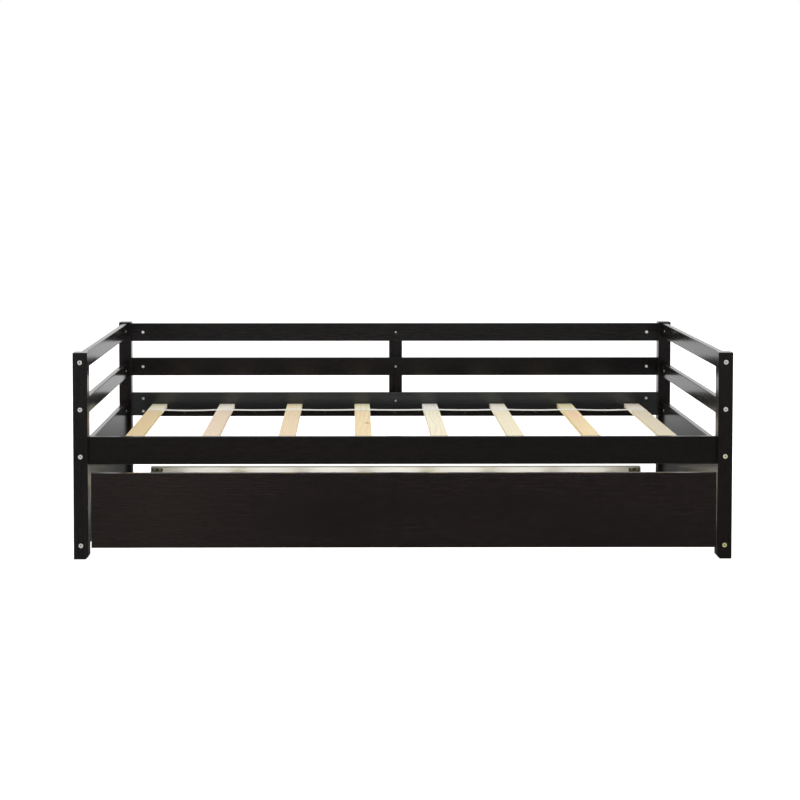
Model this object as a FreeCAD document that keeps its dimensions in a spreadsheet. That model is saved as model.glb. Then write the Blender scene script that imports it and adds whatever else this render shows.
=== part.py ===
import FreeCAD, Part
import os
from types import SimpleNamespace
from FreeCAD import Placement, Rotation, Vector

# Trundle bed: a low daybed frame with a second slatted bed on wheels that rolls out from under it.
# Millimetres. +X runs along the bed's length, seen from the open front side, +Y runs from the front to the
# back, +Z up. The origin is on the floor, at the centre of the bed frame's footprint.

DIMENSIONS = {
    # Bed frame: four square posts, with every rail centred in them
    "frame_length": 1980,
    "frame_depth": 1055,
    "post_height": 623.5,
    "post_side": 44,
    "post_edge": 3,
    "foot_bevel": 8,
    "board_thick": 18,
    "board_edge": 2,
    # End rails and end panels
    "end_rail_height": 50,
    "end_top_low": 569,
    "end_middle_low": 427,
    "end_panel_low": 23,
    "end_panel_top": 338,
    "end_panel_bolt_drop": 28,
    "end_panel_bolt_rise": 18.6,
    # Long rails
    "seat_rail_low": 285,
    "seat_rail_height": 83.5,
    "seat_bolt_low": 16,
    "seat_bolt_high": 62,
    "back_rail_height": 64,
    "back_middle_low": 430,
    "back_top_low": 554,
    # Upright that ties the three back rails together
    "support_width": 47,
    "support_shift": 2.5,
    "support_thick": 13,
    "support_low": 290,
    "support_top": 612,
    "support_low_screw": 338,
    # Cleats that carry the slats
    "cleat_height": 29,
    "cleat_depth": 25,
    "cleat_low": 286,
    "cleat_reach": 880,
    # Slats and their webbing
    "slat_width": 54,
    "slat_thick": 13,
    "slat_pitch": 242.3,
    "slat_shift": 3,
    "slat_reach": 490.5,
    "slat_edge": 1.5,
    "strap_width": 25,
    "strap_thick": 1.2,
    "strap_sag": 4,
    "strap_offset": 337.5,
    "strap_tail": 18,
    # Fasteners
    "bolt_radius": 3,
    "bolt_length": 90,
    "bolt_head_radius": 7,
    "bolt_head_height": 2.2,
    "bolt_socket": 2.3,
    "bolt_bore": 3.3,
    "bore_spare": 2,
    "nut_radius": 4.9,
    "nut_length": 14,
    "nut_recess": 0.5,
    "nut_setback": 40.5,
    "nut_bore": 5,
    "nut_thread": 3.05,
    "dowel_radius": 4,
    "dowel_length": 30,
    "dowel_bore": 4.05,
    "dowel_spread": 16,
    "screw_radius": 1.9,
    "screw_head_radius": 3.6,
    "screw_head_height": 2.4,
    "screw_proud": 0.3,
    "stub_screw_length": 14,
    "short_screw_length": 28,
    "long_screw_length": 40,
    "block_screw_length": 62,
    "staple_width": 12,
    "staple_wire": 0.9,
    "staple_leg": 9,
    "staple_sink": 1,
    # Trundle, set a little to the right of the frame's centre
    "trundle_shift": 3,
    "panel_length": 1880,
    "panel_low": 34,
    "panel_top": 260,
    "panel_front": 525.5,
    "trundle_half": 881,
    "trundle_rear": 490.5,
    "trundle_low": 40,
    "side_top": 86,
    "rear_rail_top": 104,
    "rear_rail_corner": 4,
    "trundle_cleat_low": 45,
    "trundle_cleat_height": 25,
    "trundle_cleat_depth": 20,
    "trundle_slat_pitch": 224,
    "trundle_slat_gap": 3,
    "bracket_width": 40,
    "bracket_height": 12,
    "bracket_thick": 2,
    "bracket_inset": 4,
    # Fixed casters
    "wheel_radius": 25,
    "wheel_width": 18,
    "wheel_edge": 3,
    "hub_radius": 9,
    "hub_width": 21,
    "web_recess": 4,
    "axle_radius": 3,
    "axle_bore": 3.05,
    "axle_head_radius": 4.5,
    "axle_head_height": 1.5,
    "fork_gap": 22,
    "fork_thick": 2,
    "fork_leg": 18,
    "fork_plate_x": 40,
    "fork_plate_y": 48,
    "fork_screw_x": 15,
    "fork_screw_y": 18.5,
    "fork_hole": 2.2,
    "caster_height": 58,
    "caster_front": 180,
    "caster_rear": 90,
    "block_width": 48,
    "block_length": 80,
    "block_screw_spread": 30,
}

SLATS = 8
CLEAT_SCREWS = 7

# Places of fasteners as shares of the way up or along what they hold
PANEL_DOWEL_SHARES = (0.25, 0.5, 0.75)
REAR_SCREW_SHARES = (0.2, 0.6)
BRACKET_UPRIGHT_SHARES = (-0.5, 0.5)
BRACKET_FLAT_SHARES = (0.35, 0.75)

LEFT_RIGHT = ((-1, "left"), (1, "right"))
FRONT_BACK = ((-1, "front"), (1, "back"))

doc = FreeCAD.newDocument("TrundleBed")
sheet = doc.addObject("Spreadsheet::Sheet", "Dimensions")


class Measure:
    """A length that carries both its value and the spreadsheet expression it comes from."""

    def __init__(self, text, value):
        self.text = text
        self.value = value

    def combine(self, sign, other, value):
        text = other.text if isinstance(other, Measure) else repr(other)
        return Measure(f"({self.text} {sign} {text})", value)

    def __add__(self, other):
        return self.combine("+", other, self.value + plain(other))

    def __sub__(self, other):
        return self.combine("-", other, self.value - plain(other))

    def __rsub__(self, other):
        return Measure(f"({other!r} - {self.text})", other - self.value)

    def __mul__(self, other):
        return self.combine("*", other, self.value * plain(other))

    def __truediv__(self, other):
        return self.combine("/", other, self.value / plain(other))

    def __neg__(self):
        return Measure(f"(0 - {self.text})", -self.value)


def plain(length):
    """The number behind a length."""
    return length.value if isinstance(length, Measure) else length


def fill_sheet():
    """Writes each driving dimension into a named cell and returns them all as measures."""
    for row, (alias, number) in enumerate(DIMENSIONS.items(), 1):
        sheet.set(f"A{row}", alias)
        sheet.set(f"B{row}", str(number))
        sheet.setAlias(f"B{row}", alias)
    doc.recompute()
    return SimpleNamespace(**{alias: Measure(f"Dimensions.{alias}", sheet.get(alias)) for alias in DIMENSIONS})


dims = fill_sheet()

POST_OUT_X = dims.frame_length / 2
POST_IN_X = POST_OUT_X - dims.post_side
POST_MID_X = POST_OUT_X - dims.post_side / 2
POST_OUT_Y = dims.frame_depth / 2
POST_IN_Y = POST_OUT_Y - dims.post_side
POST_MID_Y = POST_OUT_Y - dims.post_side / 2
RAIL_IN_X = POST_MID_X - dims.board_thick / 2
RAIL_IN_Y = POST_MID_Y - dims.board_thick / 2
RAIL_OUT_Y = POST_MID_Y + dims.board_thick / 2

TRUNDLE_FRONT = -dims.panel_front + dims.board_thick
TRUNDLE_BACK = dims.trundle_rear - dims.board_thick
TRUNDLE_IN = dims.trundle_half - dims.board_thick
TRUNDLE_SLAT_LOW = dims.trundle_cleat_low + dims.trundle_cleat_height
CASTER_X = TRUNDLE_IN - dims.block_width / 2
CASTER_Y = (-dims.panel_front + dims.caster_front, dims.trundle_rear - dims.caster_rear)

END_TOP = dims.end_top_low + dims.end_rail_height / 2
END_MIDDLE = dims.end_middle_low + dims.end_rail_height / 2
PANEL_HIGH = dims.end_panel_top - dims.end_panel_bolt_drop
PANEL_LOW = dims.end_panel_low + dims.end_panel_bolt_rise
SEAT_LOW = dims.seat_rail_low + dims.seat_bolt_low
SEAT_HIGH = dims.seat_rail_low + dims.seat_bolt_high
BACK_MIDDLE = dims.back_middle_low + dims.back_rail_height / 2
BACK_TOP = dims.back_top_low + dims.back_rail_height / 2


def pair_about(level):
    """The two dowel heights on either side of a bolt in the middle of a rail."""
    return [level - dims.dowel_spread, level + dims.dowel_spread]


PANEL_DOWELS = [PANEL_LOW + (PANEL_HIGH - PANEL_LOW) * share for share in PANEL_DOWEL_SHARES]
SEAT_DOWELS = [(SEAT_LOW + SEAT_HIGH) / 2]

# Every board between two posts: the heights of its bottom, top, bolts and dowels
END_BOARDS = {
    "end_top_rail": (dims.end_top_low, dims.end_top_low + dims.end_rail_height, [END_TOP], pair_about(END_TOP)),
    "end_middle_rail": (
        dims.end_middle_low, dims.end_middle_low + dims.end_rail_height, [END_MIDDLE], pair_about(END_MIDDLE)
    ),
    "end_panel": (dims.end_panel_low, dims.end_panel_top, [PANEL_LOW, PANEL_HIGH], PANEL_DOWELS),
}
SEAT_BOARD = (dims.seat_rail_low, dims.seat_rail_low + dims.seat_rail_height, [SEAT_LOW, SEAT_HIGH], SEAT_DOWELS)
FRONT_BOARDS = {"front_rail": SEAT_BOARD}
BACK_BOARDS = {
    "back_lower_rail": SEAT_BOARD,
    "back_middle_rail": (
        dims.back_middle_low, dims.back_middle_low + dims.back_rail_height, [BACK_MIDDLE], pair_about(BACK_MIDDLE)
    ),
    "back_top_rail": (dims.back_top_low, dims.back_top_low + dims.back_rail_height, [BACK_TOP], pair_about(BACK_TOP)),
}
LONG_BOARDS = {-1: FRONT_BOARDS, 1: BACK_BOARDS}

subparts = []


# Small tools for building bodies

def bind(item, **lengths):
    """Binds properties of a feature to measures."""
    for name, length in lengths.items():
        if isinstance(length, Measure):
            item.setExpression(name, length.text)
        else:
            setattr(item, name, length)


def move(item, place):
    """Binds a feature's position to three measures or numbers."""
    for axis, length in zip("xyz", place):
        if isinstance(length, Measure):
            item.setExpression(f"Placement.Base.{axis}", length.text)
        else:
            item.Placement.Base = item.Placement.Base + Vector(*[length * (axis == each) for each in "xyz"])


def new_body(label, place=(0, 0, 0)):
    body = doc.addObject("PartDesign::Body", label)
    body.Label = label
    move(body, place)
    return body


def node(label, place=(0, 0, 0)):
    """A body that is one sub-part of the bed."""
    body = new_body(label, place)
    subparts.append(body)
    return body


def span(side, near, far):
    """The low and high ends of an interval that is mirrored on the negative side."""
    return (near, far) if side > 0 else (-far, -near)


def block(body, low, high, kind="Additive"):
    """A rectangular block between two corners, added to the body or cut from it."""
    box = body.newObject(f"PartDesign::{kind}Box", "Block")
    bind(box, Length=high[0] - low[0], Width=high[1] - low[1], Height=high[2] - low[2])
    move(box, low)
    return box


TURN_TO = {
    "X": Rotation(Vector(0, 1, 0), 90),
    "Y": Rotation(Vector(1, 0, 0), -90),
    "Z": Rotation(),
}


def rod(body, axis, start, radius, length, kind="Additive"):
    """A cylinder that runs from a point along an axis, added to the body or cut from it."""
    cylinder = body.newObject(f"PartDesign::{kind}Cylinder", "Rod")
    cylinder.Placement = Placement(Vector(), TURN_TO[axis])
    bind(cylinder, Radius=radius, Height=length)
    move(cylinder, start)
    return cylinder


def bore(body, axis, start, radius, length):
    return rod(body, axis, start, radius, length, kind="Subtractive")


def edges_along(shape, *axes, top=None):
    """Names of the straight edges parallel to the axes, and of those that lie at a given height."""
    names = []
    for number, edge in enumerate(shape.Edges, 1):
        first, last = edge.Vertexes[0].Point, edge.Vertexes[-1].Point
        run = last - first
        along = any(abs(getattr(run, axis)) > 0.99 * edge.Length for axis in axes)
        at_top = top is not None and abs(first.z - top) < 0.01 and abs(last.z - top) < 0.01
        if along or at_top:
            names.append(f"Edge{number}")
    return names


def ease(body, radius, *axes, top=None):
    """Rounds the body's edges that run along the axes, and those at its top."""
    doc.recompute()
    base = body.Tip
    fillet = body.newObject("PartDesign::Fillet", "Eased")
    fillet.Base = (base, edges_along(base.Shape, *axes, top=top))
    bind(fillet, Radius=radius)
    return fillet


# Bed frame

def post(side, side_name, depth, depth_name):
    """A square post, bevelled at the inner edge of its foot and drilled for two rows of rails."""
    body = node(f"post_{depth_name}_{side_name}")
    x_low, x_high = span(side, POST_IN_X, POST_OUT_X)
    y_low, y_high = span(depth, POST_IN_Y, POST_OUT_Y)
    blank = block(body, (x_low, y_low, 0), (x_high, y_high, dims.post_height))
    doc.recompute()
    inner = POST_IN_X.value * side
    foot_edge = [
        f"Edge{number}"
        for number, edge in enumerate(blank.Shape.Edges, 1)
        if abs(edge.CenterOfMass.x - inner) < 0.01 and abs(edge.CenterOfMass.z) < 0.01
    ]
    bevel = body.newObject("PartDesign::Chamfer", "FootBevel")
    bevel.Base = (blank, foot_edge)
    bind(bevel, Size=dims.foot_bevel)
    ease(body, dims.post_edge, "z", top=dims.post_height.value)
    middle = (POST_MID_X * side, POST_MID_Y * depth)
    half_dowel = dims.dowel_length / 2
    dowel_y = span(depth, POST_IN_Y, POST_IN_Y + half_dowel)[0]
    dowel_x = span(side, POST_IN_X, POST_IN_X + half_dowel)[0]
    for _, _, bolts, dowels in END_BOARDS.values():
        for level in bolts:
            bore(body, "Y", (middle[0], y_low, level), dims.bolt_bore, dims.post_side)
        for level in dowels:
            bore(body, "Y", (middle[0], dowel_y, level), dims.dowel_bore, half_dowel)
    for _, _, bolts, dowels in LONG_BOARDS[depth].values():
        for level in bolts:
            bore(body, "X", (x_low, middle[1], level), dims.bolt_bore, dims.post_side)
        for level in dowels:
            bore(body, "X", (dowel_x, middle[1], level), dims.dowel_bore, half_dowel)


def end_board(label, side, levels):
    """A board between the front and back posts at one end, with its bolt, nut and dowel bores."""
    low, high, bolts, dowels = levels
    body = node(label)
    x_low, x_high = span(side, RAIL_IN_X, RAIL_IN_X + dims.board_thick)
    block(body, (x_low, -POST_IN_Y, low), (x_high, POST_IN_Y, high))
    ease(body, dims.board_edge, "y")
    x_middle = POST_MID_X * side
    bolt_depth = dims.bolt_length - dims.post_side + dims.bore_spare
    nut_depth = dims.nut_length + dims.bore_spare
    nut_x = span(side, RAIL_IN_X, RAIL_IN_X + nut_depth)[0]
    for depth, _ in FRONT_BACK:
        bolt_y = span(depth, POST_IN_Y - bolt_depth, POST_IN_Y)[0]
        dowel_y = span(depth, POST_IN_Y - dims.dowel_length / 2, POST_IN_Y)[0]
        nut_y = (POST_IN_Y - dims.nut_setback) * depth
        for level in bolts:
            bore(body, "Y", (x_middle, bolt_y, level), dims.bolt_bore, bolt_depth)
            bore(body, "X", (nut_x, nut_y, level), dims.nut_bore, nut_depth)
        for level in dowels:
            bore(body, "Y", (x_middle, dowel_y, level), dims.dowel_bore, dims.dowel_length / 2)


def long_board(label, depth, levels):
    """A board between the left and right posts, at the front or the back, with its bores."""
    low, high, bolts, dowels = levels
    body = node(label)
    y_low, y_high = span(depth, RAIL_IN_Y, RAIL_OUT_Y)
    block(body, (-POST_IN_X, y_low, low), (POST_IN_X, y_high, high))
    ease(body, dims.board_edge, "x")
    y_middle = POST_MID_Y * depth
    bolt_depth = dims.bolt_length - dims.post_side + dims.bore_spare
    nut_depth = dims.nut_length + dims.bore_spare
    nut_y = span(depth, RAIL_IN_Y, RAIL_IN_Y + nut_depth)[0]
    for side, _ in LEFT_RIGHT:
        bolt_x = span(side, POST_IN_X - bolt_depth, POST_IN_X)[0]
        dowel_x = span(side, POST_IN_X - dims.dowel_length / 2, POST_IN_X)[0]
        nut_x = (POST_IN_X - dims.nut_setback) * side
        for level in bolts:
            bore(body, "X", (bolt_x, y_middle, level), dims.bolt_bore, bolt_depth)
            bore(body, "Y", (nut_x, nut_y, level), dims.nut_bore, nut_depth)
        for level in dowels:
            bore(body, "X", (dowel_x, y_middle, level), dims.dowel_bore, dims.dowel_length / 2)


def back_support():
    """The short upright behind the back rails that keeps them in line."""
    body = node("back_centre_support")
    left = dims.support_shift - dims.support_width / 2
    right = dims.support_shift + dims.support_width / 2
    block(body, (left, RAIL_OUT_Y, dims.support_low), (right, RAIL_OUT_Y + dims.support_thick, dims.support_top))
    ease(body, dims.board_edge, "z")


def cleat(depth, depth_name):
    """A batten along the inside of a long rail, which the slats lie on."""
    body = node(f"{depth_name}_cleat")
    y_low, y_high = span(depth, RAIL_IN_Y - dims.cleat_depth, RAIL_IN_Y)
    top = dims.cleat_low + dims.cleat_height
    block(body, (-dims.cleat_reach, y_low, dims.cleat_low), (dims.cleat_reach, y_high, top))
    ease(body, dims.slat_edge, "x")


def slat_x(number, pitch):
    """The centre of a slat, counted from the left from zero."""
    return pitch * (number - (SLATS - 1) / 2)


def slat(label, middle, low, front, back):
    """A pine board laid from the front cleat to the back one."""
    body = node(label)
    half = dims.slat_width / 2
    block(body, (middle - half, front, low), (middle + half, back, low + dims.slat_thick))
    ease(body, dims.slat_edge, "y")


def strap(label, place, pitch):
    """Webbing along the tops of the slats: flat on each one, hanging a little between them."""
    body = node(label, place)
    sketch = body.newObject("Sketcher::SketchObject", "StrapProfile")
    plane = next(item for item in body.Origin.OriginFeatures if item.Role == "XZ_Plane")
    sketch.AttachmentSupport = (plane, [""])
    sketch.MapMode = "FlatFace"
    half = dims.slat_width.value / 2
    sag = dims.strap_sag.value
    thick = dims.strap_thick.value
    tail = dims.strap_tail.value
    middles = [slat_x(number, pitch).value for number in range(SLATS)]
    for height in (0, thick):
        for number, middle in enumerate(middles):
            start = middle - (tail if number == 0 else half)
            end = middle + (tail if number == SLATS - 1 else half)
            sketch.addGeometry(Part.LineSegment(Vector(start, height), Vector(end, height)))
            if number < SLATS - 1:
                after = middles[number + 1] - half
                lowest = Vector((end + after) / 2, height - sag)
                sketch.addGeometry(Part.Arc(Vector(end, height), lowest, Vector(after, height)))
    for x in (middles[0] - tail, middles[-1] + tail):
        sketch.addGeometry(Part.LineSegment(Vector(x, 0), Vector(x, thick)))
    pad = body.newObject("PartDesign::Pad", "StrapPad")
    pad.Profile = sketch
    pad.Midplane = True
    bind(pad, Length=dims.strap_width)


# Fasteners: each kind is made once, pointing up from its seat at the origin, and copied to its places

def bolt_master():
    """A flat-headed connector bolt with a hexagon socket."""
    body = new_body("bolt_master")
    rod(body, "Z", (0, 0, 0), dims.bolt_head_radius, dims.bolt_head_height)
    ease(body, dims.bolt_head_height / 2, top=dims.bolt_head_height.value)
    rod(body, "Z", (0, 0, -dims.bolt_length), dims.bolt_radius, dims.bolt_length)
    socket = body.newObject("PartDesign::SubtractivePrism", "Socket")
    socket.Polygon = 6
    bind(socket, Circumradius=dims.bolt_socket, Height=dims.bolt_head_height)
    move(socket, (0, 0, dims.bolt_head_height / 4))
    return body


def nut_master():
    """A barrel nut, cross-drilled for the bolt at the middle of the board, with a driver slot in its face."""
    body = new_body("nut_master")
    rod(body, "Z", (0, 0, -dims.nut_recess - dims.nut_length), dims.nut_radius, dims.nut_length)
    across = dims.nut_radius * 2
    bore(body, "X", (-dims.nut_radius, 0, -dims.board_thick / 2), dims.nut_thread, across)
    slot = dims.nut_radius / 8
    low = (-dims.nut_radius * 0.7, -slot, -dims.nut_recess - slot * 2)
    block(body, low, (dims.nut_radius * 0.7, slot, dims.nut_recess), kind="Subtractive")
    return body


def screw_master(name, length):
    """A countersunk screw with a crossed recess, its head a little proud of the wood."""
    body = new_body(name)
    rod(body, "Z", (0, 0, -length), dims.screw_radius, length)
    head = body.newObject("PartDesign::AdditiveCone", "Head")
    bind(head, Radius1=dims.screw_radius, Radius2=dims.screw_head_radius, Height=dims.screw_head_height)
    move(head, (0, 0, dims.screw_proud - dims.screw_head_height))
    arm = dims.screw_head_radius * 0.6
    slot = dims.screw_head_radius / 8
    deep = dims.screw_proud - dims.screw_head_height / 2
    block(body, (-arm, -slot, deep), (arm, slot, dims.screw_proud), kind="Subtractive")
    block(body, (-slot, -arm, deep), (slot, arm, dims.screw_proud), kind="Subtractive")
    return body


def staple_master():
    """A wire staple whose crown lies across the strap."""
    body = new_body("staple_master")
    half = dims.staple_width / 2
    wire = dims.staple_wire / 2
    block(body, (-wire, -half, 0), (wire, half, dims.staple_wire))
    for side in (-1, 1):
        y_low, y_high = span(side, half - dims.staple_wire, half)
        block(body, (-wire, y_low, -dims.staple_leg), (wire, y_high, dims.staple_wire))
    return body


def dowel_master():
    """A wooden dowel with its middle at the origin."""
    body = new_body("dowel_master")
    rod(body, "Z", (0, 0, -dims.dowel_length / 2), dims.dowel_radius, dims.dowel_length)
    return body


def aimed(at, outward, across=(1, 0, 0)):
    """A place whose own +Z points outward and whose +X points across."""
    z = Vector(*outward)
    x = Vector(*across)
    return Placement(Vector(*[plain(length) for length in at]), Rotation(x, z.cross(x), z, "ZXY"))


def group(label, *members):
    """One node of alike pieces: pairs of a master and the places where its copies sit."""
    doc.recompute()
    solids = []
    for master, places in members:
        for place in places:
            solid = master.Shape.copy()
            solid.Placement = place.multiply(solid.Placement)
            solids.append(solid)
    item = doc.addObject("Part::Feature", label)
    item.Shape = Part.makeCompound(solids)
    item.Label = label
    subparts.append(item)


def corners():
    return [(side, depth) for side, _ in LEFT_RIGHT for depth, _ in FRONT_BACK]


def bolt_places():
    """Bolts along Y into the end boards and along X into the long boards, heads on the outer faces."""
    places = []
    for side, depth in corners():
        for _, _, bolts, _ in END_BOARDS.values():
            places += [aimed((POST_MID_X * side, POST_OUT_Y * depth, level), (0, depth, 0)) for level in bolts]
        for _, _, bolts, _ in LONG_BOARDS[depth].values():
            for level in bolts:
                places.append(aimed((POST_OUT_X * side, POST_MID_Y * depth, level), (side, 0, 0), (0, 1, 0)))
    return places


def nut_places():
    """Barrel nuts in the inner faces of the boards, one on each bolt."""
    places = []
    for side, depth in corners():
        end_y = (POST_IN_Y - dims.nut_setback) * depth
        long_x = (POST_IN_X - dims.nut_setback) * side
        for _, _, bolts, _ in END_BOARDS.values():
            places += [aimed((RAIL_IN_X * side, end_y, level), (-side, 0, 0), (0, 1, 0)) for level in bolts]
        for _, _, bolts, _ in LONG_BOARDS[depth].values():
            places += [aimed((long_x, RAIL_IN_Y * depth, level), (0, -depth, 0)) for level in bolts]
    return places


def dowel_places():
    """Dowels half in the post and half in the board."""
    places = []
    for side, depth in corners():
        for _, _, _, dowels in END_BOARDS.values():
            places += [aimed((POST_MID_X * side, POST_IN_Y * depth, level), (0, 1, 0)) for level in dowels]
        for _, _, _, dowels in LONG_BOARDS[depth].values():
            for level in dowels:
                places.append(aimed((POST_IN_X * side, POST_MID_Y * depth, level), (1, 0, 0), (0, 1, 0)))
    return places


def row(low, high, count):
    """Evenly spaced positions, with half a space left at each end."""
    step = (high - low) / count
    return [low + step * (number + 0.5) for number in range(count)]


def cleat_screw_places():
    """Screws from the cleats' inner faces into the long rails."""
    level = dims.cleat_low + dims.cleat_height / 2
    reach = dims.cleat_reach.value
    inner = RAIL_IN_Y - dims.cleat_depth
    return [
        aimed((x, inner * depth, level), (0, -depth, 0))
        for depth, _ in FRONT_BACK
        for x in row(-reach, reach, CLEAT_SCREWS)
    ]


def staple_places(pitch, top, strap_ys, shift):
    """A staple through each strap at each slat, its crown pressed into the webbing."""
    seat = top - dims.staple_sink.value
    return [
        aimed((slat_x(number, pitch).value + shift, y, seat), (0, 0, 1))
        for number in range(SLATS)
        for y in strap_ys
    ]


def bed_frame():
    for side, side_name in LEFT_RIGHT:
        for depth, depth_name in FRONT_BACK:
            post(side, side_name, depth, depth_name)
        for label, levels in END_BOARDS.items():
            end_board(f"{label}_{side_name}", side, levels)
    for depth, _ in FRONT_BACK:
        for label, levels in LONG_BOARDS[depth].items():
            long_board(label, depth, levels)
    back_support()
    for depth, depth_name in FRONT_BACK:
        cleat(depth, depth_name)


def bed_slats():
    low = dims.cleat_low + dims.cleat_height
    for number in range(SLATS):
        middle = slat_x(number, dims.slat_pitch) + dims.slat_shift
        slat(f"slat_{number + 1}", middle, low, -dims.slat_reach, dims.slat_reach)
    top = low + dims.slat_thick
    for depth, depth_name in FRONT_BACK:
        strap(f"slat_strap_{depth_name}", (dims.slat_shift, dims.strap_offset * depth, top), dims.slat_pitch)


def bed_fasteners(masters):
    group("frame_bolts", (masters.bolt, bolt_places()))
    group("barrel_nuts", (masters.nut, nut_places()))
    group("rail_dowels", (masters.dowel, dowel_places()))
    support_levels = (dims.support_low_screw, BACK_MIDDLE, BACK_TOP)
    support_places = [aimed((dims.support_shift, RAIL_IN_Y, level), (0, -1, 0)) for level in support_levels]
    group("support_screws", (masters.short_screw, support_places))
    group("cleat_screws", (masters.long_screw, cleat_screw_places()))
    strap_top = (dims.cleat_low + dims.cleat_height + dims.slat_thick + dims.strap_thick).value
    strap_ys = [dims.strap_offset.value * depth for depth, _ in FRONT_BACK]
    places = staple_places(dims.slat_pitch, strap_top, strap_ys, dims.slat_shift.value)
    group("slat_staples", (masters.staple, places))


# Trundle

def trundle_panel():
    """The tall front board that hides the rest of the trundle."""
    body = node("trundle_front_panel")
    half = dims.panel_length / 2
    low = (dims.trundle_shift - half, -dims.panel_front, dims.panel_low)
    block(body, low, (dims.trundle_shift + half, TRUNDLE_FRONT, dims.panel_top))
    ease(body, dims.board_edge, "x", "z")


def trundle_side(side, side_name):
    body = node(f"trundle_side_{side_name}")
    x_low, x_high = span(side, TRUNDLE_IN, dims.trundle_half)
    shift = dims.trundle_shift
    block(body, (shift + x_low, TRUNDLE_FRONT, dims.trundle_low), (shift + x_high, TRUNDLE_BACK, dims.side_top))
    ease(body, dims.board_edge, "y")


def trundle_rear_rail():
    """The low pine rail across the back, with rounded top corners."""
    body = node("trundle_rear_rail")
    shift = dims.trundle_shift
    low = (shift - dims.trundle_half, TRUNDLE_BACK, dims.trundle_low)
    blank = block(body, low, (shift + dims.trundle_half, dims.trundle_rear, dims.rear_rail_top))
    doc.recompute()
    corner = body.newObject("PartDesign::Fillet", "Corners")
    upper = [
        name for name in edges_along(blank.Shape, "y")
        if blank.Shape.getElement(name).CenterOfMass.z > dims.trundle_low.value + 1
    ]
    corner.Base = (blank, upper)
    bind(corner, Radius=dims.rear_rail_corner)


def trundle_cleat(label, front, back):
    """A batten that carries the trundle's slats, between the two side boards."""
    body = node(label)
    shift = dims.trundle_shift
    low = (shift - TRUNDLE_IN, front, dims.trundle_cleat_low)
    block(body, low, (shift + TRUNDLE_IN, back, TRUNDLE_SLAT_LOW))
    ease(body, dims.slat_edge, "x")


def trundle_slats():
    front = TRUNDLE_FRONT + dims.trundle_slat_gap
    back = TRUNDLE_BACK - dims.trundle_slat_gap
    for number in range(SLATS):
        middle = slat_x(number, dims.trundle_slat_pitch) + dims.trundle_shift
        slat(f"trundle_slat_{number + 1}", middle, TRUNDLE_SLAT_LOW, front, back)
    top = TRUNDLE_SLAT_LOW + dims.slat_thick
    for depth, depth_name in FRONT_BACK:
        place = (dims.trundle_shift, dims.strap_offset * depth, top)
        strap(f"trundle_strap_{depth_name}", place, dims.trundle_slat_pitch)


def bracket_master():
    """An angle bracket: one leg lies flat, the other stands up behind it, both as wide as the bracket.

    Its corner is the origin. The flat leg reaches along -Y and the upright leg stands in the XZ plane.
    """
    body = new_body("bracket_master")
    half = dims.bracket_width / 2
    thick = dims.bracket_thick
    block(body, (-half, -dims.bracket_width, 0), (half, 0, thick))
    block(body, (-half, -thick, 0), (half, 0, dims.bracket_height))
    return body


def bracket_places():
    """A bracket on each side board's top at each end, against the front panel or the rear rail."""
    places = []
    for side, depth in corners():
        x = dims.trundle_shift + (dims.trundle_half - dims.bracket_inset - dims.bracket_width / 2) * side
        y = TRUNDLE_FRONT if depth < 0 else TRUNDLE_BACK
        turn = Rotation(Vector(0, 0, 1), 180 if depth < 0 else 0)
        places.append(Placement(Vector(x.value, y.value, dims.side_top.value), turn))
    return places


def bracket_screw_places():
    """Two screws through each upright leg, and two through the flat leg over the side board."""
    places = []
    half = dims.bracket_width.value / 2
    thick = dims.bracket_thick.value
    level = (dims.bracket_height.value + thick) / 2
    board = half + dims.bracket_inset.value - dims.board_thick.value / 2
    for (side, depth), corner in zip(corners(), bracket_places()):
        x = board * side * depth
        for share in BRACKET_UPRIGHT_SHARES:
            places.append(corner.multiply(aimed((half * share, -thick, level), (0, -1, 0))))
        for share in BRACKET_FLAT_SHARES:
            reach = dims.bracket_width.value * share
            places.append(corner.multiply(aimed((x, -reach, thick), (0, 0, 1))))
    return places


def block_master():
    """A pine block that carries one caster, its top at the origin."""
    body = new_body("block_master")
    half_x = dims.block_width / 2
    half_y = dims.block_length / 2
    block(body, (-half_x, -half_y, dims.caster_height - TRUNDLE_SLAT_LOW), (half_x, half_y, 0))
    return body


def fork_master():
    """A fixed caster fork: a plate with two legs, its axle at the origin's height."""
    body = new_body("fork_master")
    top = dims.caster_height - dims.wheel_radius
    half_x = dims.fork_plate_x / 2
    half_y = dims.fork_plate_y / 2
    block(body, (-half_x, -half_y, top - dims.fork_thick), (half_x, half_y, top))
    half_leg = dims.fork_leg / 2
    for side in (-1, 1):
        x_low, x_high = span(side, dims.fork_gap / 2, dims.fork_gap / 2 + dims.fork_thick)
        block(body, (x_low, -half_leg, 0), (x_high, half_leg, top))
        rod(body, "X", (x_low, 0, 0), half_leg, dims.fork_thick)
    for side, depth in corners():
        hole = (dims.fork_screw_x * side, dims.fork_screw_y * depth, top - dims.fork_thick)
        bore(body, "Z", hole, dims.fork_hole, dims.fork_thick)
    reach = dims.fork_gap + dims.fork_thick * 2
    bore(body, "X", (-reach / 2, 0, 0), dims.axle_radius, reach)
    return body


def axle_master():
    """A riveted axle through the fork and the wheel, with a head at each end."""
    body = new_body("axle_master")
    reach = dims.fork_gap + dims.fork_thick * 2
    rod(body, "X", (-reach / 2, 0, 0), dims.axle_radius, reach)
    rod(body, "X", (reach / 2, 0, 0), dims.axle_head_radius, dims.axle_head_height)
    rod(body, "X", (-reach / 2 - dims.axle_head_height, 0, 0), dims.axle_head_radius, dims.axle_head_height)
    return body


def caster_places(z):
    """The four casters' places at one height."""
    return [
        Placement(Vector((dims.trundle_shift + CASTER_X * side).value, y.value, plain(z)), Rotation())
        for side, _ in LEFT_RIGHT
        for y in CASTER_Y
    ]


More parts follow.
